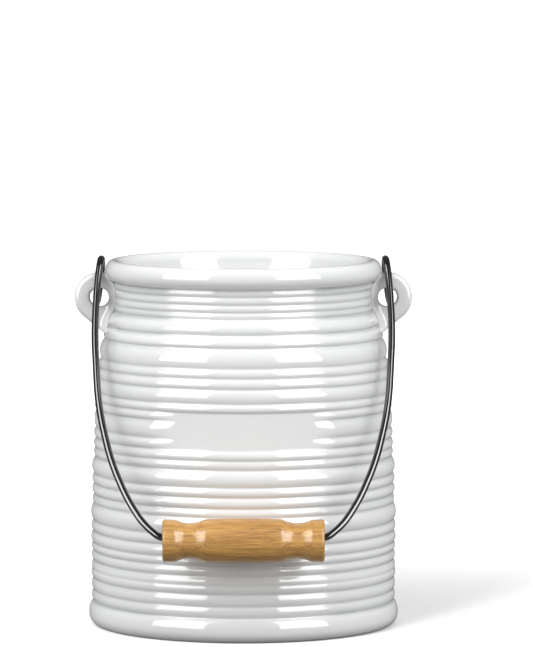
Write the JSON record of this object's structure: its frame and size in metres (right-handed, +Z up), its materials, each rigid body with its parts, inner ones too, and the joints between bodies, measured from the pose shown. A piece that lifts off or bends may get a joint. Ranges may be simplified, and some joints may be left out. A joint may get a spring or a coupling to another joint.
{
  "type": "utensil crock with bail handle",
  "caption": "Ribbed glazed stoneware crock with a rolled lip, a smooth bare panel, pierced lugs and a swinging wire bail with a turned wooden grip.",
  "frame": {"origin": "middle of the foot, on the surface that the crock stands on", "axes": "+Z up along the pot's axis, +X towards one lug, -Y towards the front, where the bail hangs"},
  "size_m": [0.1662, 0.1736, 0.1819],
  "materials": {
    "glaze": "gloss white glaze over stoneware",
    "wire": "gloss black on steel wire",
    "wood": "satin honey-coloured hardwood, grain along the grip"
  },
  "bodies": {
    "crock": {"crock_body": "glaze", "left_lug": "glaze", "right_lug": "glaze"},
    "bail": {"bail_wire": "wire"},
    "grip": {"bail_grip": "wood"}
  },
  "joints": [
    {"name": "bail_swing", "type": "hinge", "parent": "crock", "child": "bail", "pos_m": [0, 0, 0.16995], "axis": [-1, 0, 0], "range_deg": [0, 268]},
    {"name": "grip_spin", "type": "hinge", "parent": "bail", "child": "grip", "pos_m": [0, -0.0865, 0.05149], "axis": [1, 0, 0], "continuous": true}
  ]
}
